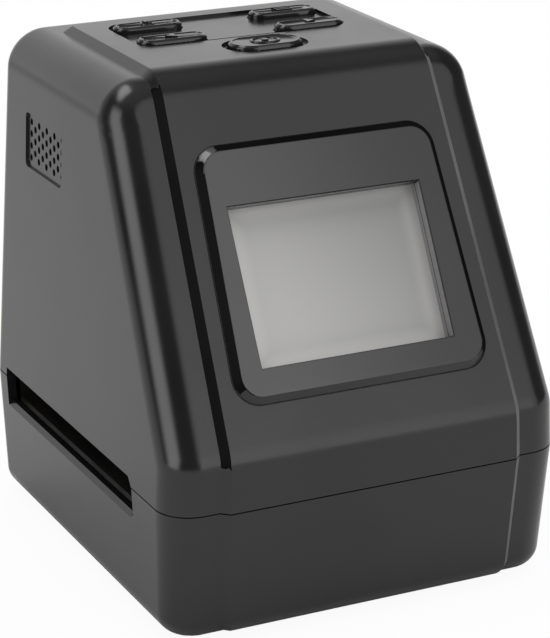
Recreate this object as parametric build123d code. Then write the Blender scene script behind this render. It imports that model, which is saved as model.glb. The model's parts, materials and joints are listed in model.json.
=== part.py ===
from build123d import *
import os
from math import cos, radians, sin, tan

# Desktop scanner for film strips and mounted slides: a tall moulded case with a slanted
# screen, five keys on top and a through slot for the film holder.
# X runs to the viewer's right, -Y is the front, Z is up. The origin is on the table, under
# the middle of the case.

# ---- overall case -------------------------------------------------------------------
width = 86.0            # at the parting line
depth = 98.0            # at the parting line, centre band to rear wall
height = 105.0          # table to the top of the centre band
parting_height = 28.0   # where the upper and lower case meet
crease_height = 38.5    # where the upright front turns into the slanted front
slant_angle = 28.7      # slanted front, from vertical
foot_height = 0.8       # how far the feet lift the case
wall = 2.0              # moulded wall thickness
spare = 1.0             # how far cuts and joined pieces run past their own ends

side_draft = 2.5        # upper case sides lean in
rear_draft = 3.5        # upper case rear leans in
lower_side_draft = 2.4  # lower case sides tuck in towards the table
lower_front_draft = 5.4
lower_rear_draft = 0.6

front_round = 7.2       # edges round the front face
rear_round = 5.5        # edges round the rear face
top_side_round = 8.5   # long top edges
crease_round = 10.0
bottom_round = 4.6

# ---- raised centre band ---------------------------------------------------------------
band_rise = 1.5
band_half_parting = 31.2   # crest half width at the parting line
band_half_top = 28.7       # crest half width at the top
band_half_bottom = 30.3
band_rear = 32.0           # Y where the band ends on the top
band_lift = 0.3            # underside of the band above the case's underside
band_overlap = 0.1         # how far the band's flank runs into the cheek

# ---- joint between the cases ------------------------------------------------------------
lip_height = 1.4
lip_clearance = 0.1
shadow_gap = 0.25
shadow_depth = 0.5

# ---- screen -----------------------------------------------------------------------------
# Distances up the slanted front are measured from the crease.
bezel_low = 9.8
bezel_high = 60.4
bezel_half_low = 27.6
bezel_half_high = 25.7
bezel_corner = 5.5
bezel_proud = 1.6
bezel_bevel = 1.4
bezel_seat = 0.6
bezel_clearance = 0.15
window_low = 16.5
window_high = 48.0
window_width = 41.4
window_x = -0.7            # the window sits left of the bezel's middle
lcd_setback = 1.9          # screen glass below the case's front surface
lcd_border = 1.8           # glass beyond the window on each side
lcd_thickness = 1.4
lcd_frame_wall = 1.2
lcd_frame_depth = 4.2
lcd_clearance = 0.15

# ---- keys -------------------------------------------------------------------------------
key_length = 15.0
key_width = 5.3
ok_key_length = 15.6
ok_key_width = 9.0
key_spread = 15.3          # key centres left and right of the middle
rear_key_y = 24.4
arrow_key_y = 11.8
ok_key_y = 0.5
key_proud = 0.8            # above the floor of the recess
key_edge = 0.6
key_gap = 0.25
key_travel = 0.6
key_flange = 0.8
key_flange_thickness = 1.0
key_stop_gap = 0.1
key_post_length = 2.0
key_post_radius = 1.6
recess_depth = 0.6
recess_half = 23.2
recess_rear = 29.6
recess_corner = 4.5
recess_margin = 1.2

# ---- switches and key board ---------------------------------------------------------------
switch_size = 6.0
switch_height = 3.5
plunger_radius = 1.7
plunger_proud = 1.0
plunger_clearance = 0.3
board_thickness = 1.6
key_board_half = 25.0
key_board_front = -9.0
key_board_rear = 35.5
key_post_x = 21.0
key_post_front = -5.8
key_post_rear = 32.2
small_boss_radius = 2.6
small_screw_radius = 1.0
small_screw_length = 6.0
small_head_radius = 1.9
small_head_height = 1.3
screw_clearance = 0.15

# ---- vent grille on the left side -----------------------------------------------------------
grille_top = 89.0
grille_bottom = 77.6
grille_front = 9.7
grille_rear = 29.6
grille_corner = 1.2
grille_depth = 0.5
vent_columns = 9
vent_rows = 4
vent_pitch = 2.5
vent_step = 2.11
vent_radius = 0.72
vent_top = 87.2
vent_rear = 27.5

# ---- film slot ------------------------------------------------------------------------------
slot_front = -28.8
slot_rear = 40.2
slot_bottom = 22.3
slot_top = 30.0
slot_corner_cut = 1.8
slot_lip = 0.9             # bevel on the slot's lower and rear edges

# ---- film channel ---------------------------------------------------------------------------
guide_thickness = 2.2
guide_floor = 22.7         # the film holder slides on this height
guide_roof = 30.2
guide_side_gap = 0.4
guide_rail = 2.6           # rails in front of and behind the channel
guide_corner = 4.0
channel_clearance = 0.3
gate_length = 38.0
gate_width = 26.0
gate_y = 5.7
spring_length = 26.0
spring_width = 4.0
spring_thickness = 0.3
spring_rise = 1.1
spring_tab = 4.0            # flat ends fixed to the roof

# ---- light source -----------------------------------------------------------------------------
lower_floor = 2.0
light_rib_height = 2.0
light_rib_width = 2.0
led_board_length = 52.0
led_board_width = 40.0
led_size = 3.5
led_height = 1.0
led_columns = 4
led_rows = 3
led_pitch_x = 10.0
led_pitch_y = 9.0
light_box_wall = 1.6
diffuser_thickness = 2.0
diffuser_margin = 3.0
diffuser_clearance = 0.15

# ---- camera -----------------------------------------------------------------------------------
hood_wall = 1.5
hood_base_length = 46.0
hood_base_width = 34.0
hood_top_size = 20.0
hood_height = 30.0
hood_flange = 4.0
hood_flange_thickness = 1.6
holder_radius = 8.4
holder_tube_height = 9.0
holder_box = 21.0
holder_box_height = 5.0
sensor_length = 10.0
sensor_width = 8.6
sensor_height = 1.2
sensor_board_size = 27.0
barrel_radius = 6.2
barrel_length = 13.0
barrel_wall = 1.1
barrel_clearance = 0.1
barrel_rim = 1.0
lens_thickness = 2.2
lens_dome = 1.3
lens_spacing = 3.8
lens_count = 3

# ---- main board and sockets ---------------------------------------------------------------------
main_board_height = 49.0
main_board_half = 34.5
main_board_front = -21.0
main_board_gap = 1.0       # to the rear wall
main_board_window = 40.0   # opening for the light hood, across
main_board_window_front = -9.5
main_board_window_rear = 21.5
ledge_length = 8.0
ledge_width = 7.0
ledge_height = 6.0
ledge_front_y = -10.0
ledge_rear_y = 33.0
usb_width = 7.8
usb_height = 4.0
usb_length = 9.0
usb_x = 19.0
usb_wall = 0.5
usb_back = 1.0             # thickness behind the plug, and setback of the tongue
usb_tongue = 1.0
card_width = 28.0
card_height = 3.4
card_length = 18.0
card_x = -13.0
card_back = 2.0
card_slot_width = 24.6
card_slot_height = 2.4
port_clearance = 0.3
chip_height = 1.2
chip_places = ((0, 32, 14, 11), (-16, 32, 10, 8), (15, 32, 8, 8), (27, 12, 6, 9))  # x, y, length, width

# ---- flat cables and the sockets they plug into ---------------------------------------------------
ribbon_thickness = 0.3
ribbon_bend = 2.0
ribbon_socket_depth = 3.0
ribbon_socket_height = 1.6
ribbon_socket_border = 1.0  # socket beyond the cable on each side
screen_ribbon_width = 18.0
screen_ribbon_lap = 12.0    # length that lies on the back of the screen's frame
screen_socket_y = -19.0
sensor_ribbon_width = 12.0
sensor_socket_y = 15.0      # on the sensor board
camera_socket_y = 21.7      # on the main board
key_ribbon_width = 8.0
key_ribbon_x = 18.0
key_ribbon_y = 25.0
key_ribbon_bow = 4.0
light_ribbon_width = 8.0
light_ribbon_x = 8.0
light_ribbon_y = 44.6       # where it rises behind the film channel
light_ribbon_start = 18.0
light_socket_y = 37.0

# ---- fasteners and feet -----------------------------------------------------------------------------
case_boss_radius = 2.6
case_boss_height = 14.0
case_screw_radius = 1.3
case_head_radius = 2.3
case_head_height = 1.6
front_screw_x = 32.0
front_screw_y = -36.5     # behind the slanted front's foot
rear_screw_x = 24.0
rear_screw_y = 43.2
screw_well_depth = 4.0
foot_radius = 4.0
foot_x = 30.0
foot_front_y = -24.0
foot_rear_y = 33.0
foot_recess = 0.6

key_places = {
    "power_button": (-key_spread, rear_key_y, key_length, key_width),
    "mode_button": (key_spread, rear_key_y, key_length, key_width),
    "left_button": (-key_spread, arrow_key_y, key_length, key_width),
    "right_button": (key_spread, arrow_key_y, key_length, key_width),
    "ok_button": (0, ok_key_y, ok_key_length, ok_key_width),
}

# Heights and places that follow from the sizes above.
half_width = width / 2
half_depth = depth / 2
slant = radians(slant_angle)
far = 2 * (width + depth + height)
ceiling = height - band_rise - wall
lower_floor_top = foot_height + lower_floor
recess_floor = height - recess_depth
flange_top = ceiling - key_stop_gap
plunger_top = flange_top - key_flange_thickness - key_post_length
key_board_top = plunger_top - plunger_proud - switch_height
led_board_bottom = lower_floor_top + light_rib_height
led_board_top = led_board_bottom + board_thickness
light_box_top = guide_floor - guide_thickness
diffuser_bottom = light_box_top - diffuser_thickness
hood_bottom = guide_roof + guide_thickness
hood_top = hood_bottom + hood_height
holder_box_bottom = hood_top + holder_tube_height
sensor_board_bottom = holder_box_bottom + holder_box_height
sensor_board_top = sensor_board_bottom + board_thickness
board_top = main_board_height + board_thickness
rear_lean = (main_board_height - parting_height) * tan(radians(rear_draft))
main_board_rear = half_depth - wall - main_board_gap - rear_lean
screen_plane = Plane(
    origin=(0, -half_depth, crease_height), x_dir=(1, 0, 0), z_dir=(0, -cos(slant), sin(slant))
)
window_middle = (window_low + window_high) / 2
window_height = window_high - window_low


def block(x_low, x_high, y_low, y_high, z_low, z_high):
    size = (x_high - x_low, y_high - y_low, z_high - z_low)
    return Pos((x_low + x_high) / 2, (y_low + y_high) / 2, (z_low + z_high) / 2) * Box(*size)


def pillar(x, y, z_low, z_high, radius):
    return Pos(x, y, (z_low + z_high) / 2) * Cylinder(radius, z_high - z_low)


def slab(z_low, z_high):
    return block(-far, far, -far, far, z_low, z_high)


def loose_edges(faces, skip_height):
    """Edges on one of the faces only, leaving out those at the height of the open end."""
    edges = [edge for face in faces for edge in face.edges()]
    return ShapeList(
        edge
        for edge in edges
        if edges.count(edge) == 1
        and not all(abs(corner.Z - skip_height) < 0.001 for corner in edge.vertices())
    )


def facing_front(solid):
    return [face for face in solid.faces() if face.normal_at(face.center()).Y < -0.3]


def facing_rear(solid):
    return [face for face in solid.faces() if face.normal_at(face.center()).Y > 0.9]


def side_width(z, shell_in):
    """Half width of the upper case at height z, shell_in under its surface."""
    return half_width - shell_in - (z - parting_height) * tan(radians(side_draft))


def rear_wall(z, shell_in):
    return half_depth - shell_in - (z - parting_height) * tan(radians(rear_draft))


def front_corners(face_in, bottom):
    """The front outline's corners, face_in under the centre band's surface."""
    front = -half_depth + face_in
    crease = crease_height - face_in * tan(slant / 2)
    top = height - face_in
    return [(front, bottom), (front, crease), (front + (top - crease) * tan(slant), top)]


def upper_form(face_in, shell_in, bottom):
    """The upper case's rounded form, face_in under the band's surface at the front and top."""
    top = height - face_in
    profile = FilletPolyline(
        *front_corners(face_in, bottom),
        (rear_wall(top, shell_in), top),
        (rear_wall(bottom, shell_in), bottom),
        radius=[0, crease_round - face_in, 0, 0, 0],
        close=True,
    )
    long_round = top_side_round - shell_in
    outline = FilletPolyline(
        (-side_width(bottom, shell_in), bottom),
        (-side_width(top, shell_in), top),
        (side_width(top, shell_in), top),
        (side_width(bottom, shell_in), bottom),
        radius=[0, long_round, long_round, 0],
        close=True,
    )
    form = extrude(Plane.YZ * make_face(profile), far, both=True)
    form &= extrude(Plane.XZ * make_face(outline), far, both=True)
    form = fillet(loose_edges(facing_rear(form), bottom), rear_round - shell_in)
    return fillet(loose_edges(facing_front(form), bottom), front_round - shell_in)


def lower_form(face_in, shell_in, bottom, top):
    """The lower case's form: it narrows towards the table."""
    drop = parting_height - bottom
    rise = top - parting_height
    front = -half_depth + face_in
    rear = half_depth - shell_in
    side = half_width - shell_in
    lean = [tan(radians(draft)) for draft in (lower_front_draft, lower_rear_draft, lower_side_draft)]
    profile = Polyline(
        (front + drop * lean[0], bottom),
        (front - rise * lean[0], top),
        (rear + rise * lean[1], top),
        (rear - drop * lean[1], bottom),
        close=True,
    )
    outline = Polyline(
        (-side + drop * lean[2], bottom),
        (-side - rise * lean[2], top),
        (side + rise * lean[2], top),
        (side - drop * lean[2], bottom),
        close=True,
    )
    form = extrude(Plane.YZ * make_face(profile), far, both=True)
    form &= extrude(Plane.XZ * make_face(outline), far, both=True)
    upright = form.edges().filter_by(lambda e: abs(e.vertices()[0].Z - e.vertices()[1].Z) > 1)
    form = fillet(upright.filter_by(lambda e: e.center().Y > 0), rear_round - shell_in)
    upright = form.edges().filter_by(
        lambda e: e.geom_type == GeomType.LINE and abs(e.vertices()[0].Z - e.vertices()[1].Z) > 1
    )
    form = fillet(upright.filter_by(lambda e: e.center().Y < 0), front_round - shell_in)
    rim = form.edges().filter_by(lambda e: all(abs(v.Z - bottom) < 0.001 for v in e.vertices()))
    return fillet(rim, bottom_round - shell_in)


def upper_band():
    """The raised band over the front and top, with its bevelled flanks."""
    grow = band_rise + band_overlap
    profile = FilletPolyline(
        *front_corners(0, parting_height),
        (band_rear + grow, height),
        (band_rear + grow, parting_height),
        radius=[0, crease_round, front_round + band_rise, 0, 0],
        close=True,
    )
    outline = Polyline(
        (-band_half_parting - grow, parting_height),
        (-band_half_top - grow, height),
        (band_half_top + grow, height),
        (band_half_parting + grow, parting_height),
        close=True,
    )
    band = extrude(Plane.YZ * make_face(profile), far, both=True)
    band &= extrude(Plane.XZ * make_face(outline), far, both=True)
    crest = [
        face
        for face in band.faces()
        if face.normal_at(face.center()).Y < -0.3 or face.normal_at(face.center()).Z > 0.3
    ]
    return chamfer(loose_edges(crest, parting_height), grow)


def band_section(z, half, front):
    """Level section through the lower band: flat crest and two bevelled flanks."""
    grow = band_rise + band_overlap
    right = [(half, front), (half + grow, front + grow), (half + grow, 0)]
    left = [(-x, y) for x, y in reversed(right)]
    return make_face(Pos(0, 0, z) * Polyline(*right, *left, close=True))


def lower_band():
    bottom = foot_height + band_lift
    lean = (parting_height - bottom) * tan(radians(lower_front_draft))
    low = band_section(bottom, band_half_bottom, -half_depth + lean)
    high = band_section(parting_height, band_half_parting, -half_depth)
    band = loft([low, high], ruled=True)
    rim = band.edges().filter_by(lambda e: all(abs(v.Z - bottom) < 0.001 for v in e.vertices()))
    return fillet(rim.filter_by(lambda e: e.center().Y < -half_depth / 2), bottom_round)


def slot_cut():
    """The film slot through both side walls, bevelled along its lower and rear edges."""
    outline = Polyline(
        (slot_front, slot_bottom),
        (slot_front, parting_height),
        (slot_front + slot_corner_cut, slot_top),
        (slot_rear, slot_top),
        (slot_rear, slot_bottom),
        close=True,
    )
    cut = extrude(Plane.YZ * make_face(outline), far, both=True)
    lean = tan(radians(lower_side_draft))
    for side in (-1, 1):
        surface = half_width - (parting_height - slot_bottom) * lean
        low = Pos(side * surface, 0, slot_bottom) * Rot(0, 45, 0) * Box(
            slot_lip * 2**0.5, far, slot_lip * 2**0.5
        )
        reach = block(-far, far, slot_front + slot_lip, slot_rear, slot_bottom - slot_lip, slot_top)
        cut += low & reach
    return cut


def screen_outline(margin):
    """The bezel's outline on the slanted front, wider at its foot."""
    points = [
        (-bezel_half_low - margin, bezel_low - margin),
        (bezel_half_low + margin, bezel_low - margin),
        (bezel_half_high + margin, bezel_high + margin),
        (-bezel_half_high - margin, bezel_high + margin),
    ]
    face = make_face(Polyline(*points, close=True))
    return fillet(face.vertices(), bezel_corner + margin)


def on_screen(sketch, low, high):
    """A prism on the slanted front between two heights over the band's surface."""
    return extrude(screen_plane.offset(low) * sketch, high - low)


def window_rectangle(margin):
    return Pos(window_x, window_middle) * Rectangle(window_width + 2 * margin, window_height + 2 * margin)


def pill(x, y, length, pill_width, z):
    return Pos(x, y, z) * SlotOverall(length, pill_width)


def key_recess():
    low = arrow_key_y - key_width / 2 - recess_margin
    middle = (low + recess_rear) / 2
    sketch = Pos(0, middle) * RectangleRounded(2 * recess_half, recess_rear - low, recess_corner)
    sketch += Pos(0, ok_key_y) * SlotOverall(
        ok_key_length + 2 * recess_margin, ok_key_width + 2 * recess_margin
    )
    return extrude(Pos(0, 0, recess_floor) * sketch, 2 * recess_depth)


def grille_cut():
    """A shallow panel in the left wall, pierced by staggered round vents."""
    lean = Plane(
        origin=(-side_width(grille_bottom, 0), 0, grille_bottom),
        x_dir=(0, -1, 0),
        z_dir=(-cos(radians(side_draft)), 0, sin(radians(side_draft))),
    )
    panel = Pos(-(grille_front + grille_rear) / 2, (grille_top - grille_bottom) / 2) * (
        RectangleRounded(grille_rear - grille_front, grille_top - grille_bottom, grille_corner)
    )
    cut = extrude(lean.offset(-grille_depth) * panel, 2 * grille_depth)
    holes = Sketch()
    for column in range(vent_columns):
        odd = column % 2
        for row in range(vent_rows - odd):
            place = (
                -vent_rear + column * vent_step,
                vent_top - grille_bottom - (row + odd / 2) * vent_pitch,
            )
            holes += Pos(*place) * Circle(vent_radius)
    return cut + extrude(lean.offset(-2 * wall) * holes, 3 * wall)


def port_cuts():
    """Openings in the rear wall for the two sockets."""
    usb = block(
        usb_x - usb_width / 2 - port_clearance,
        usb_x + usb_width / 2 + port_clearance,
        0,
        far,
        main_board_height - usb_height - port_clearance,
        main_board_height + port_clearance,
    )
    card = block(
        card_x - card_slot_width / 2 - port_clearance,
        card_x + card_slot_width / 2 + port_clearance,
        0,
        far,
        main_board_height - (card_height + card_slot_height) / 2 - port_clearance,
        main_board_height - (card_height - card_slot_height) / 2 + port_clearance,
    )
    rear = block(-far, far, main_board_rear, far, 0, far)
    return (usb + card) & rear


def case_screw_places():
    return [
        (side * x, y)
        for x, y in ((front_screw_x, front_screw_y), (rear_screw_x, rear_screw_y))
        for side in (-1, 1)
    ]


def key_post_places():
    return [(side * key_post_x, y) for y in (key_post_front, key_post_rear) for side in (-1, 1)]


def ledge_places():
    """Screw places on the ledges that carry the main board."""
    return [
        (side * (main_board_half - ledge_width / 2), y)
        for y in (ledge_front_y, ledge_rear_y)
        for side in (-1, 1)
    ]


def upper_bosses(cavity):
    """Posts and ledges inside the upper case, before they are trimmed to its cavity."""
    ledge_top = board_top + ledge_height
    parts = Part()
    for x, y in case_screw_places():
        low = parting_height + lip_height
        high = parting_height + case_boss_height
        reach = far if y > 0 else -far
        parts += pillar(x, y, low, high, case_boss_radius)
        parts += block(x - wall / 2, x + wall / 2, *sorted((y, reach)), low, high)
    for x, y in key_post_places():
        parts += pillar(x, y, key_board_top, height, small_boss_radius)
    for x, y in ledge_places():
        inner = abs(x) - ledge_width / 2
        parts += block(
            *sorted((inner * x / abs(x), far * x / abs(x))),
            y - ledge_length / 2, y + ledge_length / 2,
            board_top, ledge_top,
        )
    return parts & cavity


def upper_case():
    inner_face = band_rise + wall
    cavity = upper_form(inner_face, wall, parting_height - spare)
    case = upper_form(band_rise, 0, parting_height) + upper_band()
    case -= cavity
    rebate = upper_form(band_rise + wall / 2, wall / 2, parting_height - spare)
    case -= rebate & slab(0, parting_height + lip_height + lip_clearance)
    shadow = upper_form(band_rise + shadow_depth, shadow_depth, parting_height - spare)
    case -= slab(0, parting_height + shadow_gap) - shadow
    case += upper_bosses(cavity)
    for x, y in case_screw_places():
        case -= pillar(x, y, 0, parting_height + case_boss_height, case_screw_radius + screw_clearance)
    for x, y in key_post_places():
        case -= pillar(
            x, y, 0, key_board_top + small_screw_length, small_screw_radius + screw_clearance
        )
    for x, y in ledge_places():
        case -= pillar(x, y, 0, board_top + small_screw_length, small_screw_radius + screw_clearance)
    case -= slot_cut()
    case -= on_screen(screen_outline(bezel_clearance), -bezel_seat, far)
    case -= on_screen(window_rectangle(0), -far / 10, far)
    seat = window_rectangle(lcd_border + lcd_frame_wall + 2 * lcd_clearance)
    case -= on_screen(seat, -lcd_setback - lcd_frame_depth, -lcd_setback)
    case -= key_recess()
    for x, y, length, across in key_places.values():
        hole = pill(x, y, length + 2 * key_gap, across + 2 * key_gap, ceiling - spare)
        case -= extrude(hole, height)
    return case - grille_cut() - port_cuts()


def lower_case():
    case = lower_form(band_rise, 0, foot_height, parting_height) + lower_band()
    cavity = lower_form(band_rise + wall, wall, lower_floor_top, parting_height + spare)
    case -= cavity
    lip_in = wall / 2 + lip_clearance
    lip = upper_form(band_rise + lip_in, lip_in, parting_height - spare)
    lip -= upper_form(band_rise + wall, wall, parting_height - 2 * spare)
    case += lip & slab(parting_height - wall / 2, parting_height + lip_height)
    posts = Part()
    for x, y in case_screw_places():
        posts += pillar(x, y, lower_floor_top - spare, parting_height + lip_height, case_boss_radius)
    case += posts & (cavity + slab(parting_height, parting_height + lip_height))
    for x, y in case_screw_places():
        well = foot_height + screw_well_depth
        case += pillar(x, y, lower_floor_top - spare, well + wall, case_head_radius + wall) & cavity
    for x, y in case_screw_places():
        case -= pillar(x, y, 0, foot_height + screw_well_depth, case_head_radius + screw_clearance)
        case -= pillar(x, y, 0, far, case_screw_radius + screw_clearance)
    for side in (-1, 1):
        x = side * (led_board_length / 2 - light_rib_width)
        case += block(
            *sorted((x, x - side * light_rib_width)),
            gate_y - led_board_width / 2, gate_y + led_board_width / 2,
            lower_floor_top, led_board_bottom,
        )
    for x, y in foot_places():
        case -= pillar(x, y, 0, foot_height + foot_recess, foot_radius + screw_clearance)
    return case - slot_cut()


def screen_bezel():
    plate = on_screen(screen_outline(0), -bezel_seat, bezel_proud)
    front = plate.faces().sort_by(Axis(screen_plane.origin, screen_plane.z_dir))[-1]
    plate = chamfer(front.edges(), bezel_bevel)
    return plate - on_screen(window_rectangle(0), -far / 10, far)


def lcd_panel():
    return on_screen(window_rectangle(lcd_border), -lcd_setback - lcd_thickness, -lcd_setback)


def lcd_frame():
    """A shallow tray round the sides and back of the screen glass."""
    outer = window_rectangle(lcd_border + lcd_frame_wall + lcd_clearance)
    outer = fillet(outer.vertices(), lcd_frame_wall)
    tray = on_screen(outer, -lcd_setback - lcd_frame_depth, -lcd_setback)
    pocket = window_rectangle(lcd_border + lcd_clearance)
    return tray - on_screen(pocket, -lcd_setback - lcd_thickness, far)


def key(x, y, length, across):
    """A pill-shaped key with a retaining flange and a post that bears on its switch."""
    top = recess_floor + key_proud
    flange_bottom = flange_top - key_flange_thickness
    cap = extrude(pill(x, y, length, across, flange_bottom), top - flange_bottom)
    cap = chamfer(cap.faces().sort_by(Axis.Z)[-1].edges(), key_edge)
    flange = pill(x, y, length + 2 * key_flange, across + 2 * key_flange, flange_bottom)
    cap += extrude(flange, key_flange_thickness)
    return cap + pillar(x, y, plunger_top, flange_bottom, key_post_radius)


def plunger(x, y):
    bottom = key_board_top + switch_height - plunger_clearance
    return pillar(x, y, bottom, plunger_top, plunger_radius)


def tact_switches():
    bodies = Part()
    well = key_travel + 2 * plunger_clearance
    for x, y, length, across in key_places.values():
        half = switch_size / 2
        body = block(x - half, x + half, y - half, y + half, key_board_top, key_board_top + switch_height)
        top = key_board_top + switch_height
        bodies += body - pillar(x, y, top - well, far, plunger_radius + screw_clearance)
    return bodies


def key_board():
    board = block(
        -key_board_half, key_board_half, key_board_front, key_board_rear,
        key_board_top - board_thickness, key_board_top,
    )
    corners = board.edges().filter_by(Axis.Z)
    board = fillet(corners, small_boss_radius)
    for x, y in key_post_places():
        board -= pillar(x, y, 0, far, small_screw_radius + screw_clearance)
    return board


def screw(x, y, seat, radius, length, head_radius, head_height):
    """A screw driven upwards, its bevelled head under the seat."""
    head = pillar(x, y, seat - head_height, seat, head_radius)
    head = chamfer(head.faces().sort_by(Axis.Z)[0].edges(), head_height / 3)
    return head + pillar(x, y, seat, seat + length, radius)


def board_screws():
    screws = Part()
    sizes = (small_screw_radius, small_screw_length, small_head_radius, small_head_height)
    for x, y in key_post_places():
        screws += screw(x, y, key_board_top - board_thickness, *sizes)
    for x, y in ledge_places():
        screws += screw(x, y, main_board_height, *sizes)
    return screws


def case_screws():
    screws = Part()
    seat = foot_height + screw_well_depth
    for x, y in case_screw_places():
        screws += screw(
            x, y, seat, case_screw_radius,
            parting_height + case_boss_height - seat - wall, case_head_radius, case_head_height,
        )
    return screws


def foot_places():
    return [(side * foot_x, y) for y in (foot_front_y, foot_rear_y) for side in (-1, 1)]


def rubber_feet():
    feet = Part()
    for x, y in foot_places():
        foot = pillar(x, y, 0, foot_height + foot_recess, foot_radius)
        feet += chamfer(foot.faces().sort_by(Axis.Z)[0].edges(), foot_height / 2)
    return feet


def gate(z_low, z_high):
    return block(
        -gate_length / 2, gate_length / 2, gate_y - gate_width / 2, gate_y + gate_width / 2, z_low, z_high
    )


def guide_half():
    lean = (parting_height - light_box_top) * tan(radians(lower_side_draft))
    return half_width - wall - guide_side_gap - lean


def guide_outline(z_low, z_high):
    """The film guides' shared outline, rounded at the rear to clear the case's corners."""
    half = guide_half()
    plate = block(-half, half, slot_front - guide_rail, slot_rear + guide_rail, z_low, z_high)
    corners = plate.edges().filter_by(Axis.Z)
    plate = fillet(corners.filter_by(lambda e: e.center().Y > 0), guide_corner)
    for x, y in case_screw_places():
        plate -= pillar(x, y, 0, far, case_boss_radius + channel_clearance)
    return plate


def film_guide_bottom():
    """The channel's floor, with the film gate and a rail at its front and rear."""
    plate = guide_outline(light_box_top, guide_roof)
    front = slot_front - channel_clearance
    rear = slot_rear + channel_clearance
    plate -= block(-far, far, front, rear, guide_floor, far)
    edges = plate.edges().filter_by(Axis.Y).filter_by(lambda e: abs(e.center().Z - guide_floor) < 0.01)
    plate = chamfer(edges, guide_thickness / 4)
    return plate - gate(0, far)


def film_guide_top():
    """The channel's roof, with the film gate."""
    return guide_outline(guide_roof, guide_roof + guide_thickness) - gate(0, far)


def light_box():
    """A white frame with open ends that carries the diffuser under the film gate."""
    x_half = led_board_length / 2
    y_half = led_board_width / 2
    box = block(-x_half, x_half, gate_y - y_half, gate_y + y_half, led_board_top, light_box_top)
    box -= block(
        -x_half + light_box_wall, x_half - light_box_wall,
        gate_y - y_half + light_box_wall, gate_y + y_half - light_box_wall,
        0, diffuser_bottom - light_box_wall,
    )
    box -= gate(0, far)
    seat = diffuser_margin + diffuser_clearance
    return box - block(
        -gate_length / 2 - seat, gate_length / 2 + seat,
        gate_y - gate_width / 2 - seat, gate_y + gate_width / 2 + seat, diffuser_bottom, far,
    )


def diffuser():
    return block(
        -gate_length / 2 - diffuser_margin, gate_length / 2 + diffuser_margin,
        gate_y - gate_width / 2 - diffuser_margin, gate_y + gate_width / 2 + diffuser_margin,
        diffuser_bottom, light_box_top,
    )


def led_board():
    return block(
        -led_board_length / 2, led_board_length / 2,
        gate_y - led_board_width / 2, gate_y + led_board_width / 2, led_board_bottom, led_board_top,
    )


def backlight_leds():
    leds = Part()
    for column in range(led_columns):
        for row in range(led_rows):
            x = (column - (led_columns - 1) / 2) * led_pitch_x
            y = gate_y + (row - (led_rows - 1) / 2) * led_pitch_y
            half = led_size / 2
            leds += block(x - half, x + half, y - half, y + half, led_board_top, led_board_top + led_height)
    return leds


def light_hood():
    """A dark funnel from the film gate up to the lens, on a flanged foot."""
    def funnel(inset, low, high):
        base = Pos(0, gate_y, low) * Rectangle(hood_base_length - 2 * inset, hood_base_width - 2 * inset)
        top = Pos(0, gate_y, high) * Rectangle(hood_top_size - 2 * inset, hood_top_size - 2 * inset)
        return loft([base.face(), top.face()])

    hood = funnel(0, hood_bottom, hood_top)
    x_half = hood_base_length / 2 + hood_flange
    y_half = hood_base_width / 2 + hood_flange
    hood += block(
        -x_half, x_half, gate_y - y_half, gate_y + y_half, hood_bottom, hood_bottom + hood_flange_thickness
    )
    hood -= funnel(hood_wall, hood_bottom, hood_top)
    cap = block(
        -hood_top_size / 2, hood_top_size / 2, gate_y - hood_top_size / 2, gate_y + hood_top_size / 2,
        hood_top - hood_wall, hood_top,
    )
    return hood + cap - pillar(0, gate_y, 0, far, barrel_radius + barrel_rim + barrel_clearance)


def lens_holder():
    """The tube that the lens screws into, under a square cup over the sensor."""
    half = holder_box / 2
    holder = pillar(0, gate_y, hood_top, holder_box_bottom, holder_radius)
    holder += block(-half, half, gate_y - half, gate_y + half, holder_box_bottom, sensor_board_bottom)
    inner = half - hood_wall
    holder -= block(
        -inner, inner, gate_y - inner, gate_y + inner, holder_box_bottom + hood_wall, far
    )
    return holder - pillar(0, gate_y, 0, far, barrel_radius + barrel_clearance)


def lens_barrel():
    """The threaded lens tube, stepped out to a gripping rim at its lower end."""
    top = holder_box_bottom + hood_wall
    bottom = top - barrel_length
    tube = pillar(0, gate_y, bottom, top, barrel_radius)
    tube += pillar(0, gate_y, bottom, hood_top, barrel_radius + barrel_rim)
    return tube - pillar(0, gate_y, 0, far, barrel_radius - barrel_wall)


def lens_elements():
    """Lenses with a domed upper face, one above the other in the barrel."""
    radius = barrel_radius - barrel_wall
    dome_radius = (radius**2 + lens_dome**2) / (2 * lens_dome)
    first = holder_box_bottom + hood_wall - barrel_length + lens_thickness
    lenses = Part()
    for number in range(lens_count):
        z = first + number * lens_spacing
        dome = Pos(0, gate_y, z + lens_thickness - dome_radius) * Sphere(dome_radius)
        lenses += pillar(0, gate_y, z, z + lens_thickness, radius) & dome
    return lenses


def sensor_board():
    half = sensor_board_size / 2
    return block(
        -half, half, gate_y - half, gate_y + half, sensor_board_bottom, sensor_board_top
    )


def image_sensor():
    return block(
        -sensor_length / 2, sensor_length / 2, gate_y - sensor_width / 2, gate_y + sensor_width / 2,
        sensor_board_bottom - sensor_height, sensor_board_bottom,
    )


def main_board():
    """The main board lies level, with a window for the light hood."""
    board = block(
        -main_board_half, main_board_half, main_board_front, main_board_rear,
        main_board_height, board_top,
    )
    board -= block(
        -main_board_window / 2, main_board_window / 2,
        main_board_window_front, main_board_window_rear, 0, far,
    )
    for x, y in ledge_places():
        board -= pillar(x, y, 0, far, small_screw_radius + screw_clearance)
    return board


def main_board_chips():
    chips = Part()
    for x, y, length, across in chip_places:
        chips += block(
            x - length / 2, x + length / 2, y - across / 2, y + across / 2, board_top, board_top + chip_height
        )
    return chips


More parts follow.
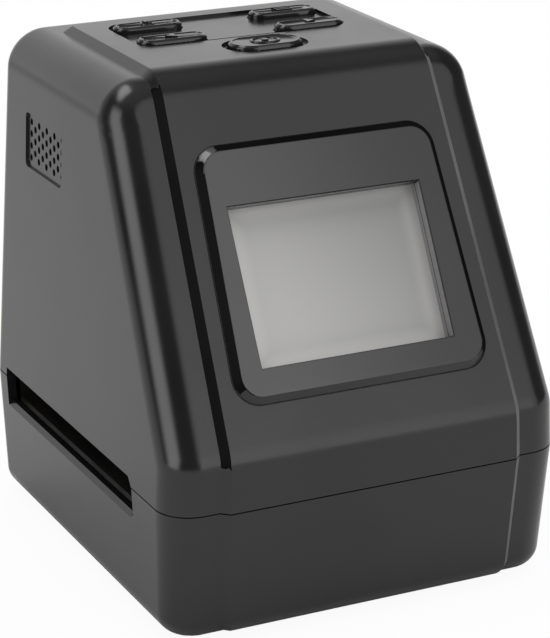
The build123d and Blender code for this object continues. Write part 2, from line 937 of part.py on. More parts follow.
def usb_socket():
    """A pressed metal shell with its tongue, hung under the main board at the rear edge."""
    rear = rear_wall(main_board_height, 0) - wall / 2
    low = main_board_height - usb_height
    half = usb_width / 2
    shell = block(usb_x - half, usb_x + half, rear - usb_length, rear, low, main_board_height)
    shell -= block(
        usb_x - half + usb_wall, usb_x + half - usb_wall, rear - usb_length + usb_back, far,
        low + usb_wall, main_board_height - usb_wall,
    )
    middle = low + usb_height / 2
    return shell + block(
        usb_x - half / 2, usb_x + half / 2, rear - usb_length, rear - usb_back,
        middle - usb_tongue / 2, middle + usb_tongue / 2,
    )


def sd_card_socket():
    rear = rear_wall(main_board_height, 0) - wall - port_clearance
    low = main_board_height - card_height
    half = card_width / 2
    shell = block(card_x - half, card_x + half, rear - card_length, rear, low, main_board_height)
    middle = low + card_height / 2
    return shell - block(
        card_x - card_slot_width / 2, card_x + card_slot_width / 2, rear - card_length + card_back, far,
        middle - card_slot_height / 2, middle + card_slot_height / 2,
    )


def holder_springs():
    """Two bowed leaf springs under the channel roof that steady the film holder."""
    reach = spring_length / 2
    upper = [(-reach, guide_roof), (0, guide_roof - spring_rise), (reach, guide_roof)]
    lower = [(y, z - spring_thickness) for y, z in upper]
    end = reach + spring_tab
    under = guide_roof - spring_thickness
    outline = ThreePointArc(*upper) + ThreePointArc(*lower)
    outline += Polyline(upper[2], (end, guide_roof), (end, under), lower[2])
    outline += Polyline(upper[0], (-end, guide_roof), (-end, under), lower[0])
    leaf = extrude(Plane.YZ * make_face(outline), spring_width / 2, both=True)
    place = gate_length / 2 + spring_width
    return Pos(-place, gate_y, 0) * leaf + Pos(place, gate_y, 0) * leaf


def behind_screen(up, depth_under):
    """Y and Z of a point up the slanted front from the crease and under its surface."""
    y = -half_depth + up * sin(slant) + depth_under * cos(slant)
    return (y, crease_height + up * cos(slant) - depth_under * sin(slant))


def ribbon(line, x, across):
    """A flat cable whose middle follows a line drawn in Y and Z."""
    return Pos(x, 0, 0) * extrude(Plane.YZ * trace(line, ribbon_thickness), across / 2, both=True)


def screen_ribbon():
    """From the back of the screen, folded to the front edge of the main board."""
    z = board_top + ribbon_socket_height / 2
    under = lcd_setback + lcd_frame_depth + ribbon_thickness / 2
    fold = (z - crease_height + under * sin(slant)) / cos(slant)
    points = [
        behind_screen(fold + screen_ribbon_lap, under),
        behind_screen(fold, under),
        (screen_socket_y, z),
    ]
    return ribbon(FilletPolyline(*points, radius=ribbon_bend), window_x, screen_ribbon_width)


def sensor_ribbon():
    """From the sensor board over the rear of the hood, down to the main board."""
    start = (sensor_socket_y + ribbon_socket_depth, sensor_board_top + ribbon_socket_height / 2)
    y = camera_socket_y + ribbon_socket_depth / 2
    points = [start, (y, start[1]), (y, board_top + ribbon_socket_height)]
    return ribbon(FilletPolyline(*points, radius=ribbon_bend), 0, sensor_ribbon_width)


def key_ribbon():
    """Bowed between the key board and the main board."""
    low = board_top + ribbon_socket_height
    high = key_board_top - board_thickness - ribbon_socket_height
    points = [(key_ribbon_y, low), (key_ribbon_y + key_ribbon_bow, (low + high) / 2), (key_ribbon_y, high)]
    return ribbon(Spline(*points, tangents=[(0, 1), (0, 1)]), key_ribbon_x, key_ribbon_width)


def light_ribbon():
    """From under the lamp board along the floor, then up behind the film channel."""
    low = led_board_bottom - ribbon_thickness / 2
    high = main_board_height - ribbon_socket_height / 2
    points = [
        (light_ribbon_start, low),
        (light_ribbon_y, low),
        (light_ribbon_y, high),
        (light_socket_y + ribbon_socket_depth, high),
    ]
    return ribbon(FilletPolyline(*points, radius=ribbon_bend), light_ribbon_x, light_ribbon_width)


def ribbon_sockets():
    """The sockets on the boards, each with a flat cable's end in it."""
    key_socket_y = key_ribbon_y - ribbon_socket_depth / 2
    key_socket_bottom = key_board_top - board_thickness - ribbon_socket_height
    places = [
        (window_x, screen_ribbon_width, screen_socket_y, board_top),
        (0, sensor_ribbon_width, sensor_socket_y, sensor_board_top),
        (0, sensor_ribbon_width, camera_socket_y, board_top),
        (key_ribbon_x, key_ribbon_width, key_socket_y, key_socket_bottom),
        (key_ribbon_x, key_ribbon_width, key_socket_y, board_top),
        (light_ribbon_x, light_ribbon_width, light_socket_y, main_board_height - ribbon_socket_height),
    ]
    sockets = Part()
    for x, across, y, z in places:
        half = across / 2 + ribbon_socket_border
        sockets += block(x - half, x + half, y, y + ribbon_socket_depth, z, z + ribbon_socket_height)
    return sockets


parts = {
    "upper_case": upper_case,
    "lower_case": lower_case,
    "screen_bezel": screen_bezel,
    "lcd_panel": lcd_panel,
    "lcd_frame": lcd_frame,
    "tact_switches": tact_switches,
    "key_board": key_board,
    "board_screws": board_screws,
    "case_screws": case_screws,
    "rubber_feet": rubber_feet,
    "film_guide_bottom": film_guide_bottom,
    "film_guide_top": film_guide_top,
    "holder_springs": holder_springs,
    "light_box": light_box,
    "diffuser": diffuser,
    "led_board": led_board,
    "backlight_leds": backlight_leds,
    "light_hood": light_hood,
    "lens_holder": lens_holder,
    "lens_barrel": lens_barrel,
    "lens_elements": lens_elements,
    "sensor_board": sensor_board,
    "image_sensor": image_sensor,
    "main_board": main_board,
    "main_board_chips": main_board_chips,
    "usb_socket": usb_socket,
    "sd_card_socket": sd_card_socket,
    "screen_ribbon": screen_ribbon,
    "sensor_ribbon": sensor_ribbon,
    "key_ribbon": key_ribbon,
    "light_ribbon": light_ribbon,
    "ribbon_sockets": ribbon_sockets,
}

os.makedirs("parts", exist_ok=True)
for name, make in parts.items():
    export_step(make(), f"parts/{name}.step")
for name, (x, y, length, across) in key_places.items():
    export_step(key(x, y, length, across), f"parts/{name}.step")
    export_step(plunger(x, y), f"parts/{name.replace('button', 'switch_plunger')}.step")
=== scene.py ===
import json
from math import cos, pi, radians, sin

import bpy
from mathutils import Matrix, Vector

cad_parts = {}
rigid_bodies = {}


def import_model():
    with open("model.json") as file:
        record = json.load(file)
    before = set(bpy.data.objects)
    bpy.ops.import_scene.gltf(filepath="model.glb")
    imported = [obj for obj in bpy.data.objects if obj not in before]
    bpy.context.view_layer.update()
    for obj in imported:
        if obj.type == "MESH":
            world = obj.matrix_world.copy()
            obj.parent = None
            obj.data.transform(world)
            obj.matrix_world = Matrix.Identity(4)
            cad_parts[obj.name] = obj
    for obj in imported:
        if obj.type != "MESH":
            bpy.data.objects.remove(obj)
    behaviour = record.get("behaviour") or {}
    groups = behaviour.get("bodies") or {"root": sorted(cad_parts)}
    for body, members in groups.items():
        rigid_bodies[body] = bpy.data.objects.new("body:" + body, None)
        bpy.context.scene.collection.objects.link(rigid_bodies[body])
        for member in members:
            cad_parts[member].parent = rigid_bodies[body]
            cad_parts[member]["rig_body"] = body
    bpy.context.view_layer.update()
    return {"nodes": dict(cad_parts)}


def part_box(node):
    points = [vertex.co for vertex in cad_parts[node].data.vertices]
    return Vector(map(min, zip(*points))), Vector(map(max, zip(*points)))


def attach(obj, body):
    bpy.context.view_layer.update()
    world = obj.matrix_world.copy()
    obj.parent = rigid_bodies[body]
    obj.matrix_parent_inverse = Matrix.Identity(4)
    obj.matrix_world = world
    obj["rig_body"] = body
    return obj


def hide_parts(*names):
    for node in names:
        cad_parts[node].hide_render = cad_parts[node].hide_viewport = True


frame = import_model()

# ---- Upper and lower case --------------------------------------------------------------
# Two thin shells moulded in black ABS, almost polished, over a very fine grain. The
# upper one carries the raised centre band, the screen and the keys; the lower one
# stands on the feet. They meet at a shadow line and are screwed together from below.


class Signal:
    """A shader socket. Sums on it add Math nodes, and node() adds any other node."""

    def __init__(self, tree, socket):
        self.tree, self.socket = tree, socket

    def node(self, kind, sockets, output=0, **settings):
        made = self.tree.nodes.new("ShaderNode" + kind)
        for name, value in settings.items():
            setattr(made, name, value)
        for name, value in sockets.items():
            if isinstance(value, Signal):
                self.tree.links.new(value.socket, made.inputs[name])
            else:
                made.inputs[name].default_value = value
        return Signal(self.tree, made.outputs[output])

    def maths(self, operation, first, second):
        return self.node("Math", {0: first, 1: second}, operation=operation)

    def __add__(self, other):
        return self.maths("ADD", self, other)

    def __sub__(self, other):
        return self.maths("SUBTRACT", self, other)

    def __rsub__(self, other):
        return self.maths("SUBTRACT", other, self)

    def __mul__(self, other):
        return self.maths("MULTIPLY", self, other)

    def larger(self, other):
        return self.maths("MAXIMUM", self, other)

    def ramp(self, low, high, out_low=0.0, out_high=1.0):
        """Goes from out_low to out_high as this signal goes from low to high."""
        sockets = {0: self, 1: low, 2: high, 3: out_low, 4: out_high}
        return self.node("MapRange", sockets, interpolation_type="SMOOTHSTEP")

    def mix(self, colour_low, colour_high):
        """Blends two colours by this signal."""
        return self.node("Mix", {0: self, 6: colour_low, 7: colour_high}, 2, data_type="RGBA")

    def axis(self, letter):
        """The X, Y or Z of this vector."""
        return self.node("SeparateXYZ", {0: self}, letter)

    def noise(self, size, detail=2.0):
        """Noise of about this grain size in metres, on this vector."""
        return self.node("TexNoise", {"Vector": self, "Scale": 1 / size, "Detail": detail})

    def stripes(self, letter, pitch):
        """Soft stripes this far apart in metres, along the X, Y or Z of this vector."""
        wave_factor = 20  # a wave texture multiplies its coordinates by this
        sockets = {"Vector": self, "Scale": 2 * pi / (wave_factor * pitch)}
        return self.node("TexWave", sockets, 1, bands_direction=letter)

    def bump(self, depth):
        """A normal that follows this signal as a height of this depth in metres."""
        return self.node("Bump", {"Height": self, "Distance": depth})


def new_material(name, colour, roughness, **fixed):
    """A material with its constants set, its shader, and the object's coordinates."""
    material = bpy.data.materials.new(name)
    material.use_nodes = True
    tree = material.node_tree
    shader = tree.nodes["Principled BSDF"]
    shader.inputs["Base Color"].default_value = (*colour, 1)
    shader.inputs["Roughness"].default_value = roughness
    for socket, value in fixed.items():
        shader.inputs[socket.replace("_", " ")].default_value = value
    place = Signal(tree, tree.nodes.new("ShaderNodeTexCoord").outputs["Object"])
    return material, shader, place


def connect(signal, shader, socket):
    signal.tree.links.new(signal.socket, shader.inputs[socket])


def moulded(name, dark, light, rough_low, rough_high, grain=0.00035, depth=0.000004, **fixed):
    """Moulded plastic: a fine eroded grain, faint flow shading and uneven sheen."""
    material, shader, place = new_material(name, dark, rough_low, **fixed)
    flow = place.noise(0.035, 3.0)
    skin = place.noise(grain, 3.0)
    smudge = place.noise(0.012, 4.0)
    sheen = (smudge * 0.7 + skin * 0.3).ramp(0.35, 0.65, rough_low, rough_high)
    connect(flow.ramp(0.35, 0.65).mix((*dark, 1), (*light, 1)), shader, "Base Color")
    connect(sheen, shader, "Roughness")
    connect(skin.bump(depth), shader, "Normal")
    return material


def alone(piece):
    """Makes this piece the only one selected, and the active one."""
    bpy.ops.object.select_all(action="DESELECT")
    piece.select_set(True)
    bpy.context.view_layer.objects.active = piece


def apply_modifiers(piece):
    alone(piece)
    for modifier in list(piece.modifiers):
        bpy.ops.object.modifier_apply(modifier=modifier.name)


def smooth(piece):
    """Smooth shading across gentle angles, with the large flat faces kept flat."""
    alone(piece)
    bpy.ops.object.shade_smooth_by_angle(angle=radians(30))
    weighted = piece.modifiers.new("flats", "WEIGHTED_NORMAL")
    weighted.keep_sharp = True
    weighted.weight = 100
    apply_modifiers(piece)


def finished(node, name, material, edge=0.0):
    """A copy of a part with its faces welded, its sharp edges eased and smooth shading."""
    part = frame["nodes"][node]
    piece = bpy.data.objects.new(name, part.data.copy())
    bpy.context.scene.collection.objects.link(piece)
    alone(piece)
    bpy.ops.object.mode_set(mode="EDIT")
    bpy.ops.mesh.select_all(action="SELECT")
    bpy.ops.mesh.remove_doubles(threshold=0.000001)
    bpy.ops.mesh.dissolve_limited(angle_limit=radians(0.3))
    bpy.ops.mesh.select_all(action="DESELECT")
    bpy.ops.object.mode_set(mode="OBJECT")
    if edge:
        ease = piece.modifiers.new("eased edges", "BEVEL")
        ease.width = edge
        ease.segments = 2
        ease.limit_method = "ANGLE"
        ease.angle_limit = radians(35)
        ease.use_clamp_overlap = True
        apply_modifiers(piece)
    smooth(piece)
    piece.data.materials.clear()
    piece.data.materials.append(material)
    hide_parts(node)
    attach(piece, part["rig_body"])
    return piece


def paint(piece, material, chosen):
    """Gives the faces that are chosen by their normal and centre another material."""
    piece.data.materials.append(material)
    for face in piece.data.polygons:
        if chosen(face.normal, face.center):
            face.material_index = len(piece.data.materials) - 1


# The same plastic comes in two more looks, both with light painted in: nearly black is
# painted shade on edges that look away from the light, and pale grey is a painted highlight
# on the raised band's right edge and the skirt's edge below it, which show as a thin line.
black_abs = moulded(
    "glossy black ABS", (0.0095, 0.009, 0.0095), (0.013, 0.012, 0.0125), 0.17, 0.22, IOR=1.5
)
painted_shade_abs = moulded(
    "black ABS with painted shade", (0.004, 0.0035, 0.004), (0.006, 0.0055, 0.006), 0.25, 0.3,
    Specular_IOR_Level=0.02,
)
painted_highlight_abs = moulded(
    "black ABS with painted highlight", (0.12, 0.118, 0.116), (0.17, 0.167, 0.164), 0.3, 0.4,
    Specular_IOR_Level=0.3,
)
case_edge = 0.00012
upper_case = finished("upper_case", "upper_case_shell", black_abs, case_edge)
lower_case = finished("lower_case", "lower_case_shell", black_abs, case_edge)

# The band's flanks lie this far from the middle and look these ways. Under the slope, in
# front of skirt_y, its right edge lies a little further out.
flank_inner, flank_outer, skirt_outer = 0.0285, 0.033, 0.036
skirt_y = -0.044
left_flank = Vector((-0.70, -0.62, 0.36))
right_flank = Vector((0.70, -0.62, 0.36))
same_way = 0.97


def on_left_flank(normal, at):
    return normal.dot(left_flank) > same_way and flank_inner < -at.x < flank_outer


def on_right_flank(normal, at):
    return normal.dot(right_flank) > same_way and flank_inner < at.x < flank_outer


def on_skirt_edge(normal, at):
    return normal.x > 0.3 and at.y < skirt_y and flank_inner < at.x < skirt_outer


# Painted shade on the band's left flank, and a painted highlight on its right flank and on the
# skirt's right edge under the slope, in both shells.
paint(upper_case, painted_shade_abs, on_left_flank)
paint(upper_case, painted_highlight_abs, on_right_flank)
for shell in (upper_case, lower_case):
    paint(shell, painted_highlight_abs, on_skirt_edge)

# ---- Rubber feet -----------------------------------------------------------------------
# Four small moulded rubber discs with a chamfered rim, pressed into shallow rings under
# the lower shell. Their skin is dull and slightly pitted.


def coat(nodes, material):
    """Gives CAD nodes, whose shape is right already, their material."""
    for node in nodes:
        frame["nodes"][node].data.materials.clear()
        frame["nodes"][node].data.materials.append(material)


rubber = moulded(
    "black rubber", (0.012, 0.012, 0.012), (0.022, 0.022, 0.021), 0.65, 0.85,
    grain=0.0002, depth=0.00002,
)
coat(["rubber_feet"], rubber)

# ---- Screws ----------------------------------------------------------------------------
# Zinc-plated steel screws with a cross recess in a chamfered head and a rolled thread.
# Four long ones close the case from below, and small ones hold the boards.

thread_pitch = 0.0008
zinc, shader, place = new_material("zinc plated steel", (0.52, 0.52, 0.5), 0.3, Metallic=1.0)
patches = place.noise(0.0015, 3.0)
plating = patches.ramp(0.3, 0.7).mix((0.52, 0.52, 0.5, 1), (0.63, 0.62, 0.6, 1))
connect(plating, shader, "Base Color")
connect(patches.ramp(0.3, 0.7, 0.26, 0.4), shader, "Roughness")
connect(place.stripes("Z", thread_pitch).bump(thread_pitch / 4), shader, "Normal")


def cut_cross(piece, length, width, depth):
    """Cuts a cross recess into every flat head. All the heads look down."""
    heads = [
        face.center.copy() for face in piece.data.polygons
        if face.normal.z < -0.99 and face.area > length * length * 0.9
    ]
    for arm in ((length, width), (width, length)):
        bars = []
        for head in heads:
            bpy.ops.mesh.primitive_cube_add(size=1, location=head)
            bpy.context.object.scale = (*arm, depth * 2)
            bars.append(bpy.context.object)
        for bar in bars:
            bar.select_set(True)
        bpy.ops.object.join()
        cutter = bpy.context.object
        recess = piece.modifiers.new("cross recess", "BOOLEAN")
        recess.operation = "DIFFERENCE"
        recess.object = cutter
        apply_modifiers(piece)
        bpy.data.objects.remove(cutter)


case_screws = finished("case_screws", "case_closing_screws", zinc)
cut_cross(case_screws, length=0.0026, width=0.0007, depth=0.0009)
board_screws = finished("board_screws", "small_board_screws", zinc)
cut_cross(board_screws, length=0.0018, width=0.0005, depth=0.0006)

# ---- Screen bezel ----------------------------------------------------------------------
# A separate moulded frame with a broad bevel, glued into a shallow seat round the
# screen. Its flat is a shade lighter than the case, and painted light makes it lighter still
# towards the left.

half_frame = 0.024
grey_abs, shader, place = new_material("dark grey ABS", (0.05, 0.048, 0.048), 0.18, IOR=1.5)
# Painted light: the flat's colour runs from lighter on the left to darker on the right.
painted_light_fade = place.axis("X").ramp(-half_frame, half_frame) * 0.85 + place.noise(0.02, 3.0) * 0.15
connect(painted_light_fade.mix((0.062, 0.06, 0.06, 1), (0.018, 0.0175, 0.0175, 1)), shader, "Base Color")
connect(place.noise(0.012, 4.0).ramp(0.35, 0.65, 0.16, 0.2), shader, "Roughness")
connect(place.noise(0.00035, 3.0).bump(0.000003), shader, "Normal")
bezel = finished("screen_bezel", "screen_bezel_frame", grey_abs, edge=0.0002)

# A step of 1 up the slope goes this far in Y and Z.
slope_y, slope_z = 0.480, 0.877
screen_out = Vector((0, -slope_z, slope_y))


def on_bevel(normal):
    """A bevel looks partly out from the screen and partly to the side."""
    return 0.45 < normal.dot(screen_out) < 0.93


def on_upper_bevel(normal, at):
    """The top and sides, without the top left corner, which catches the light."""
    top_left = -0.6 < normal.x < -0.1 and normal.z > 0.45
    return on_bevel(normal) and normal.z > 0 and not top_left


def on_lower_bevel(normal, at):
    return on_bevel(normal) and normal.z < 0


# Painted shade on the bevel's top and sides; the lower bevel keeps the case's own black plastic.
paint(bezel, painted_shade_abs, on_upper_bevel)
paint(bezel, black_abs, on_lower_bevel)

# The right walls of the window, in the bezel and in the shell behind it, are pale.
wall_grey = moulded("pale window wall", (0.24, 0.235, 0.24), (0.3, 0.295, 0.3), 0.3, 0.4)
wall_inner, wall_outer = 0.0196, 0.0255
window_foot, window_head = 0.048, 0.083


def on_right_wall(normal, at):
    beside = wall_inner < at.x < wall_outer and window_foot < at.z < window_head
    return beside and normal.x < -0.99


for piece in (bezel, upper_case):
    paint(piece, wall_grey, on_right_wall)

# ---- Screen ----------------------------------------------------------------------------
# The panel lies a few millimetres behind the bezel. It is switched off and shows as a
# satin grey, with painted light that makes it lighter towards the lower left and along its
# rim, where the bezel's shade falls. Behind it a white moulded tray holds it.

slope_foot_y, slope_foot_z = -0.049, 0.0385
window_x, window_up = -0.0007, 0.03225
half_width, half_height = 0.0207, 0.01575
lcd_glass, shader, place = new_material(
    "switched-off screen", (0.37, 0.365, 0.36), 0.3, Coat_Weight=0.25
)
side, depth, height = (place.axis(letter) for letter in "XYZ")
up_slope = (depth - slope_foot_y) * slope_y + (height - slope_foot_z) * slope_z
across = (side - window_x) * (1 / half_width)
along = (up_slope - window_up) * (1 / half_height)
# Painted light: lighter towards the lower left, and lighter still along the rim to hide the shade
# that the bezel casts there.
painted_light_low_left = ((0 - across) * 0.65 + (0 - along) * 0.35).ramp(-1.0, 1.0)
from_side, from_end = (part.maths("ABSOLUTE", part, 0) for part in (across, along))
painted_light_rim = from_side.larger(from_end).ramp(0.76, 1.0)
plain = painted_light_low_left.mix((0.242, 0.239, 0.237, 1), (0.45, 0.445, 0.44, 1))
rim_colour_painted_light = painted_light_low_left.mix((0.39, 0.385, 0.38, 1), (0.61, 0.602, 0.595, 1))
connect(painted_light_rim.mix(plain, rim_colour_painted_light), shader, "Base Color")
connect(place.noise(0.0004).ramp(0.3, 0.7, 0.28, 0.32), shader, "Roughness")
coat(["lcd_panel"], lcd_glass)

white_plastic = moulded("white plastic", (0.74, 0.74, 0.72), (0.8, 0.8, 0.78), 0.4, 0.5)
coat(["lcd_frame"], white_plastic)

# ---- Keys ------------------------------------------------------------------------------
# Five pill-shaped keys in glossy black ABS with a bevelled rim and a slightly sunk top.
# Each has a generic raised sign: a triangle, bars, a ring with a bar or one with a dot.

key_abs = moulded(
    "key ABS", (0.012, 0.0115, 0.012), (0.018, 0.017, 0.0175), 0.1, 0.14, IOR=1.5
)
key_lift, crown, rim, dish = 0.0006, 0.0012, 0.0006, 0.00015
sign_height, sign_edge = 0.0003, 0.00012


def choose(piece, test):
    """Enters edit mode with only the faces chosen by normal and centre selected."""
    alone(piece)
    bpy.ops.object.mode_set(mode="EDIT")
    bpy.ops.mesh.select_mode(type="FACE")
    bpy.ops.mesh.select_all(action="DESELECT")
    bpy.ops.object.mode_set(mode="OBJECT")
    for face in piece.data.polygons:
        face.select = test(face.normal, face.center)
    bpy.ops.object.mode_set(mode="EDIT")


def crowned(piece, top):
    """Raises a key's rim over its case and sinks its top a little inside the rim."""
    choose(piece, lambda normal, at: at.z > top - crown and normal.z > 0.3)
    bpy.ops.transform.translate(value=(0, 0, key_lift))
    bpy.ops.object.mode_set(mode="OBJECT")
    choose(piece, lambda normal, at: normal.z > 0.99 and at.z > top)
    bpy.ops.mesh.inset(thickness=rim / 2)
    bpy.ops.mesh.inset(thickness=rim / 4, depth=-dish)
    bpy.ops.object.mode_set(mode="OBJECT")


def sign(key, add, up=0.0, turn=0.0, stretch=(1, 1, 1), eased=True, **form):
    """Adds a raised sign to a key, this far up from its middle."""
    piece, x, y, z = keys[key]
    add(location=(x, y + up, z), rotation=(0, 0, radians(turn)), **form)
    mark = bpy.context.object
    mark.scale = stretch
    bpy.ops.object.transform_apply(location=True, rotation=True, scale=True)
    if eased:
        choose(mark, lambda normal, at: normal.z > 0.9)
        bpy.ops.mesh.inset(thickness=sign_edge, depth=sign_edge / 2)
        bpy.ops.object.mode_set(mode="OBJECT")
    mark.data.materials.append(key_abs)
    alone(piece)
    mark.select_set(True)
    bpy.ops.object.join()


def disc(key, radius, corners, turn=0.0):
    """A flat round sign, or a triangle where it has three corners."""
    add = bpy.ops.mesh.primitive_cylinder_add
    sign(key, add, turn=turn, vertices=corners, radius=radius, depth=sign_height * 2)


def bar(key, width, height, up=0.0):
    add = bpy.ops.mesh.primitive_cube_add
    sign(key, add, up, stretch=(width, height, sign_height * 2), size=1)


def ring(key, radius, corners, stretch=1.0):
    """A round wire ring, stretched along the key."""
    sign(
        key, bpy.ops.mesh.primitive_torus_add, stretch=(stretch, 1, 1), eased=False,
        major_radius=radius, minor_radius=sign_height, major_segments=corners, minor_segments=8,
    )


keys = {}
for key in ("power", "mode", "left", "right", "ok"):
    piece = finished(f"{key}_button", f"{key}_key", key_abs)
    low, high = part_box(f"{key}_button")
    crowned(piece, high[2])
    keys[key] = (piece, (low[0] + high[0]) / 2, (low[1] + high[1]) / 2, high[2] + key_lift - dish)

disc("left", 0.0015, 3, turn=90)
disc("right", 0.0015, 3, turn=-90)
ring("power", 0.0013, 32)
bar("power", 0.0005, 0.0016, up=0.0013)
for step in (-1, 0, 1):
    bar("mode", 0.0036, 0.0005, up=step * 0.0011)
ring("ok", 0.0022, 40, stretch=1.3)
disc("ok", 0.0007, 24)

# ---- Switches under the keys -----------------------------------------------------------
# Five square click switches are soldered to the key board, each with a round plunger
# that the key's stem rests on. Housing and plunger are dull black nylon.

switch_plastic = moulded("switch nylon", (0.02, 0.02, 0.02), (0.03, 0.03, 0.03), 0.4, 0.5)
coat(["tact_switches"], switch_plastic)
coat([f"{key}_switch_plunger" for key in keys], switch_plastic)

# ---- Circuit boards --------------------------------------------------------------------
# Glass-fibre boards under a green solder mask, through which the copper tracks show a
# little lighter. The lamp board's mask is white, so that it throws light upwards.


def track_net(place, length, pitch, line):
    """A net of thin lines round staggered cells of this length and pitch in metres."""
    sizes = {"Brick Width": length, "Row Height": pitch, "Mortar Size": line}
    return place.node("TexBrick", {"Vector": place, "Scale": 1.0, **sizes}, 1)


def masked_board(name, dark, light, track, tin):
    """Solder mask over a net of tracks, with tinned pads scattered along them."""
    material, shader, place = new_material(name, dark, 0.35)
    wide = track_net(place, 0.006, 0.0016, 0.00022)
    narrow = track_net(place, 0.0021, 0.0034, 0.00014)
    tracks = wide.larger(narrow)
    pads = place.node("TexVoronoi", {"Vector": place, "Scale": 1 / 0.0028}).ramp(0.2, 0.16)
    mask = place.noise(0.01).mix((*dark, 1), (*light, 1))
    connect(pads.mix(tracks.mix(mask, (*track, 1)), (*tin, 1)), shader, "Base Color")
    connect(pads, shader, "Metallic")
    connect((tracks + pads).bump(0.00003), shader, "Normal")
    return material


solder_mask = masked_board(
    "green solder mask", (0.008, 0.08, 0.03), (0.012, 0.11, 0.045), (0.03, 0.2, 0.09),
    (0.6, 0.6, 0.57),
)
white_mask = masked_board(
    "white solder mask", (0.68, 0.69, 0.68), (0.75, 0.76, 0.75), (0.6, 0.61, 0.6),
    (0.7, 0.7, 0.68),
)
coat(["key_board", "sensor_board", "main_board"], solder_mask)
coat(["led_board"], white_mask)

# ---- Film channel ----------------------------------------------------------------------
# Two matt black moulded guides form the channel that a film holder slides through, and
# two bowed leaves of spring steel press the holder down on the lower one.

guide_plastic = moulded(
    "matt black plastic", (0.006, 0.0055, 0.005), (0.014, 0.012, 0.01), 0.5, 0.7,
    grain=0.0006, depth=0.00003, Specular_IOR_Level=0.25,
)
spring_steel = moulded(
    "spring steel", (0.5, 0.5, 0.5), (0.56, 0.56, 0.55), 0.22, 0.3, Metallic=1.0
)
coat(["film_guide_bottom", "film_guide_top"], guide_plastic)
coat(["holder_springs"], spring_steel)

# ---- Lamp box --------------------------------------------------------------------------
# A white moulded box under the film gate mixes the light of twelve small white LEDs, and
# an opal acrylic sheet on top of it spreads the light evenly.

opal = moulded("opal acrylic", (0.82, 0.83, 0.83), (0.86, 0.87, 0.87), 0.3, 0.4)
led_body = moulded("white LED package", (0.82, 0.82, 0.8), (0.87, 0.87, 0.85), 0.3, 0.4)
phosphor = moulded(
    "yellow phosphor", (0.8, 0.62, 0.12), (0.85, 0.7, 0.2), 0.15, 0.2,
    grain=0.0001, depth=0.00001,
)
coat(["light_box"], white_plastic)
coat(["diffuser"], opal)

# Each LED's top has a rim round a shallow well, whose floor is the phosphor.
led_rim, led_well = 0.0004, 0.0001
leds = finished("backlight_leds", "white_leds", led_body)
led_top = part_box("backlight_leds")[1][2]
choose(leds, lambda normal, at: normal.z > 0.99 and at.z > led_top - led_well)
bpy.ops.mesh.inset(thickness=led_rim, depth=-led_well, use_individual=True)
bpy.ops.object.mode_set(mode="OBJECT")
leds.data.materials.append(phosphor)
for face in leds.data.polygons:
    if face.select and face.normal.z > 0.99 and face.center.z < led_top - led_well / 2:
        face.material_index = 1

# ---- Camera unit -----------------------------------------------------------------------
# It looks down on the film: a dark hood, a moulded holder, a threaded metal tube with
# three coated lenses, and the image sensor on its own small board.

black_metal, shader, place = new_material(
    "black anodised metal", (0.03, 0.03, 0.032), 0.35, Metallic=0.7
)
dye = place.noise(0.002).mix((0.025, 0.025, 0.027, 1), (0.045, 0.045, 0.048, 1))
connect(dye, shader, "Base Color")
connect(place.stripes("Z", 0.0005).bump(0.00012), shader, "Normal")
lens_glass, shader, place = new_material(
    "coated lens glass", (0.9, 0.94, 0.97), 0.03, Transmission_Weight=1.0, IOR=1.5
)
tint = place.noise(0.004).mix((0.86, 0.9, 0.98, 1), (0.92, 0.96, 0.95, 1))
connect(tint, shader, "Base Color")
sensor_glass = moulded(
    "sensor under glass", (0.02, 0.03, 0.05), (0.035, 0.045, 0.07), 0.06, 0.1
)
coat(["light_hood", "lens_holder"], guide_plastic)
coat(["lens_barrel"], black_metal)
coat(["lens_elements"], lens_glass)
coat(["image_sensor"], sensor_glass)

# ---- Main board parts ------------------------------------------------------------------
# Moulded chips lie on the board, and the card and USB sockets look out at the back. Their
# shells are pressed from nickel-plated steel.

chip_plastic = moulded(
    "chip package", (0.02, 0.02, 0.022), (0.03, 0.03, 0.03), 0.5, 0.6,
    grain=0.00015, depth=0.00001,
)
plated = moulded(
    "nickel plated shell", (0.55, 0.55, 0.53), (0.66, 0.66, 0.64), 0.25, 0.38,
    grain=0.0004, depth=0.000006, Metallic=1.0,
)
coat(["main_board_chips"], chip_plastic)
coat(["usb_socket", "sd_card_socket"], plated)

# ---- Flat cables -----------------------------------------------------------------------
# Amber polyimide ribbons with printed copper lines join the boards. Each ends in an ivory
# socket that clamps it to its board.

ribbon_film, shader, place = new_material(
    "amber ribbon film", (0.7, 0.38, 0.09), 0.3, Coat_Weight=0.4
)
lines = place.stripes("X", 0.001).ramp(0.4, 0.6)
connect(lines.mix((0.62, 0.32, 0.07, 1), (0.78, 0.47, 0.16, 1)), shader, "Base Color")
connect(lines.bump(0.00003), shader, "Normal")
socket_plastic = moulded(
    "ivory socket plastic", (0.62, 0.59, 0.5), (0.72, 0.7, 0.62), 0.4, 0.55
)
coat(["screen_ribbon", "sensor_ribbon", "key_ribbon", "light_ribbon"], ribbon_film)
coat(["ribbon_sockets"], socket_plastic)

# ---- Camera ----------------------------------------------------------------------------
# It stands to the left of the front and looks down on the scanner, through a long lens.

bpy.ops.object.camera_add(location=(-0.219, -0.4578, 0.2252))
camera = bpy.context.object
pan, tilt, roll = radians(-26.0), radians(19.32), radians(-0.10)
back = Vector((sin(pan) * cos(tilt), -cos(pan) * cos(tilt), sin(tilt)))
right = (-back).cross(Vector((0, 0, 1))).normalized()
up = right.cross(-back)
rolled_right = right * cos(roll) + up * sin(roll)
rolled_up = up * cos(roll) - right * sin(roll)
camera.rotation_euler = Matrix((rolled_right, rolled_up, back)).transposed().to_euler()
camera.data.lens = 146.93
camera.data.shift_x = -0.0171
camera.data.shift_y = -0.0025
camera.data.clip_start = 0.01
bpy.context.scene.camera = camera

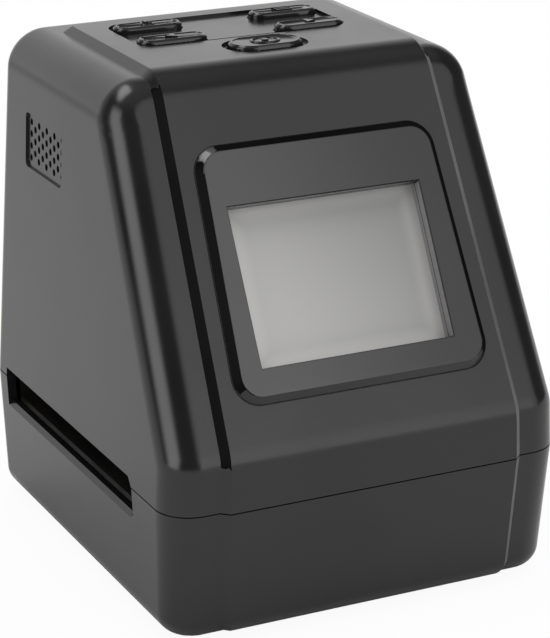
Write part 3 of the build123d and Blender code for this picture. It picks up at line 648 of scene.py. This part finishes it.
# ---- Floor -----------------------------------------------------------------------------
# A wide matt white floor. The camera sees it almost pure white, and polished surfaces
# mirror it a little darker.


def rays_of(tree, *kinds):
    """Signals that are 1 for these kinds of ray."""
    path = tree.nodes.new("ShaderNodeLightPath")
    return [Signal(tree, path.outputs[f"Is {kind} Ray"]) for kind in kinds]


mirrored_floor, floor_glow = 0.82, 0.94
bpy.ops.mesh.primitive_plane_add(size=6, location=(0, 0, 0))
floor = bpy.context.object
floor.name = "floor"
white_floor, shader, place = new_material(
    "white floor", (0.9, 0.9, 0.9), 0.9, Specular_IOR_Level=0.0
)
tree = place.tree
seen, mirrored = rays_of(tree, "Camera", "Glossy")
white = mirrored.mix((0.9, 0.9, 0.9, 1), (mirrored_floor, mirrored_floor, mirrored_floor, 1))
connect(white, shader, "Base Color")
glow = place.node("Emission", {"Color": (1, 1, 1, 1), "Strength": 1.0})
lit = Signal(tree, shader.outputs[0])
blend = place.node("MixShader", {0: seen * floor_glow, 1: lit, 2: glow})
connect(blend, tree.nodes["Material Output"], "Surface")
floor.data.materials.append(white_floor)

# ---- Light -----------------------------------------------------------------------------
# Matt surfaces get even light and an overhead softbox. Polished ones mirror a dark room
# with a white wall behind, a broad softbox on the right, a narrow one on the left and one
# high up behind it. The camera itself sees plain white.

world = bpy.data.worlds.new("studio")
bpy.context.scene.world = world
world.use_nodes = True
tree = world.node_tree
seen, mirrored, clear = rays_of(tree, "Camera", "Glossy", "Transmission")
direction = Signal(tree, tree.nodes.new("ShaderNodeTexCoord").outputs["Generated"])
rightward, backward, upward = (direction.axis(letter) for letter in "XYZ")
azimuth = direction.maths("ARCTAN2", 0 - rightward, 0 - backward) * (180 / pi)
elevation = upward.maths("ARCSINE", upward, 0) * (180 / pi)


def between(angle, limits, soft):
    """1 where the angle is between two limits, with soft ends. All are in degrees."""
    risen = angle.ramp(limits[0] - soft, limits[0] + soft)
    return risen * angle.ramp(limits[1] - soft, limits[1] + soft, 1.0, 0.0)


def panel(azimuths, elevations, strength, soft):
    """A softbox between two azimuths (0 in front, 90 on the left) and two elevations."""
    return between(azimuth, azimuths, soft) * between(elevation, elevations, soft) * strength


dark_room, even_light = 0.08, 0.75
wall = backward.ramp(0.4, 0.9) * 0.9
right_box = panel((-52, 0), (-20, 50), 1.0, soft=7) + panel((-31, -8), (-20, 34), 0.8, soft=5)
left_box = panel((60, 95), (-5, 40), 2.9, soft=8)
high_box = panel((85, 200), (57, 88), 4.2, soft=6)
ceiling_glow = upward.ramp(0.7, 0.95) * 0.3
room = wall + right_box + left_box + high_box + ceiling_glow + dark_room
lights = (1 - mirrored) * even_light + mirrored * room
backdrop = seen.larger(clear)
strength = backdrop.node("Mix", {0: backdrop, 2: lights, 3: 1.0}, data_type="FLOAT")
background = tree.nodes["Background"]
background.inputs["Color"].default_value = (1, 1, 1, 1)
connect(strength, background, "Strength")

lamp_place, lamp_aim = Vector((0.1, -0.1, 1.4)), Vector((0, 0, 0.05))
bpy.ops.object.light_add(type="AREA", location=lamp_place)
lamp = bpy.context.object
lamp.name = "overhead softbox"
lamp.data.size = 1.2
lamp.data.energy = 8
lamp.visible_glossy = False
lamp.rotation_euler = (lamp_place - lamp_aim).to_track_quat("Z", "Y").to_euler()

bpy.context.scene.view_settings.view_transform = "Standard"
